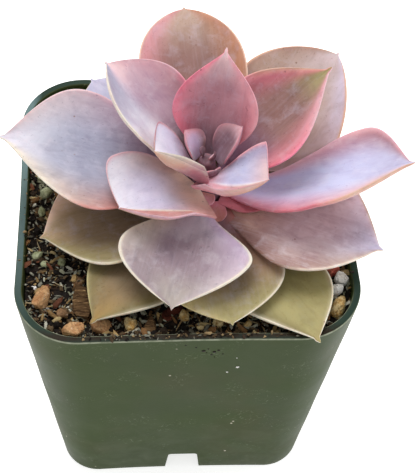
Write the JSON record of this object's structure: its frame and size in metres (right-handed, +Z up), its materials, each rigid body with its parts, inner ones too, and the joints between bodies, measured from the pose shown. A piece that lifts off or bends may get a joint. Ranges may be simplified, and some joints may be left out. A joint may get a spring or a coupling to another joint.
{
  "type": "potted echeveria",
  "caption": "Rosette of thick pointed succulent leaves on a short stem, planted in dark soil with stones, in a square tapered nursery pot.",
  "frame": {"origin": "under the middle of the whole plant and pot, at the height that the pot stands on", "axes": "+Z up out of the pot, the side of the pot that faces the viewer looks along -Y, +X to the viewer's right"},
  "size_m": [0.1205, 0.1082, 0.1407],
  "materials": {
    "pot_plastic": "satin olive green plastic, a little dusty",
    "peat": "loose dark peat, dry and matt",
    "stem_skin": "smooth plant skin",
    "leaf_lavender": "waxy bloom, matt",
    "leaf_lilac_pink": "waxy bloom, matt",
    "leaf_mauve": "waxy bloom, matt",
    "leaf_tan": "waxy bloom, matt",
    "leaf_grey_olive": "waxy bloom, matt",
    "leaf_olive": "waxy bloom, matt",
    "orange_stone": "rough",
    "yellow_stone": "rough",
    "brown_stone": "rough",
    "red_stone": "rough",
    "pumice": "porous and rough",
    "bark": "rough bark",
    "dry_stick": "dry and matt",
    "dry_leaf_skin": "thin, dry and curled"
  },
  "bodies": {
    "root": {"pot": "pot_plastic", "soil": "peat", "stem": "stem_skin", "heart_bud_left": "leaf_lavender", "heart_bud_right": "leaf_lilac_pink", "heart_leaf_left": "leaf_mauve", "heart_leaf_right": "leaf_mauve", "inner_leaf_left": "leaf_lavender", "inner_leaf_right": "leaf_lavender", "inner_leaf_back": "leaf_mauve", "inner_leaf_front_left": "leaf_lavender", "middle_leaf_left_back": "leaf_lilac_pink", "middle_leaf_right_back": "leaf_mauve", "middle_leaf_left": "leaf_lavender", "middle_leaf_front": "leaf_lavender", "middle_leaf_right": "leaf_lilac_pink", "outer_leaf_back": "leaf_tan", "outer_leaf_front": "leaf_grey_olive", "outer_leaf_front_right": "leaf_mauve", "outer_leaf_back_left": "leaf_lavender", "outer_leaf_back_right": "leaf_tan", "lower_leaf_left": "leaf_grey_olive", "lower_leaf_front_left": "leaf_olive", "lower_leaf_front_right": "leaf_olive", "lower_leaf_right": "leaf_olive", "lower_leaf_back_right": "leaf_olive", "lower_leaf_back": "leaf_grey_olive", "lower_leaf_back_left": "leaf_grey_olive", "orange_stone_front": "orange_stone", "orange_stone_under_leaf": "orange_stone", "pink_stone_left": "orange_stone", "yellow_stone_front": "yellow_stone", "olive_stone_left": "brown_stone", "small_brown_stone": "brown_stone", "tan_stone_right": "yellow_stone", "red_stone_right": "red_stone", "white_pumice_upper": "pumice", "white_pumice_lower": "pumice", "bark_chip": "bark", "bark_piece_front": "bark", "tan_stick": "dry_stick", "dry_leaf": "dry_leaf_skin"}
  },
  "joints": []
}
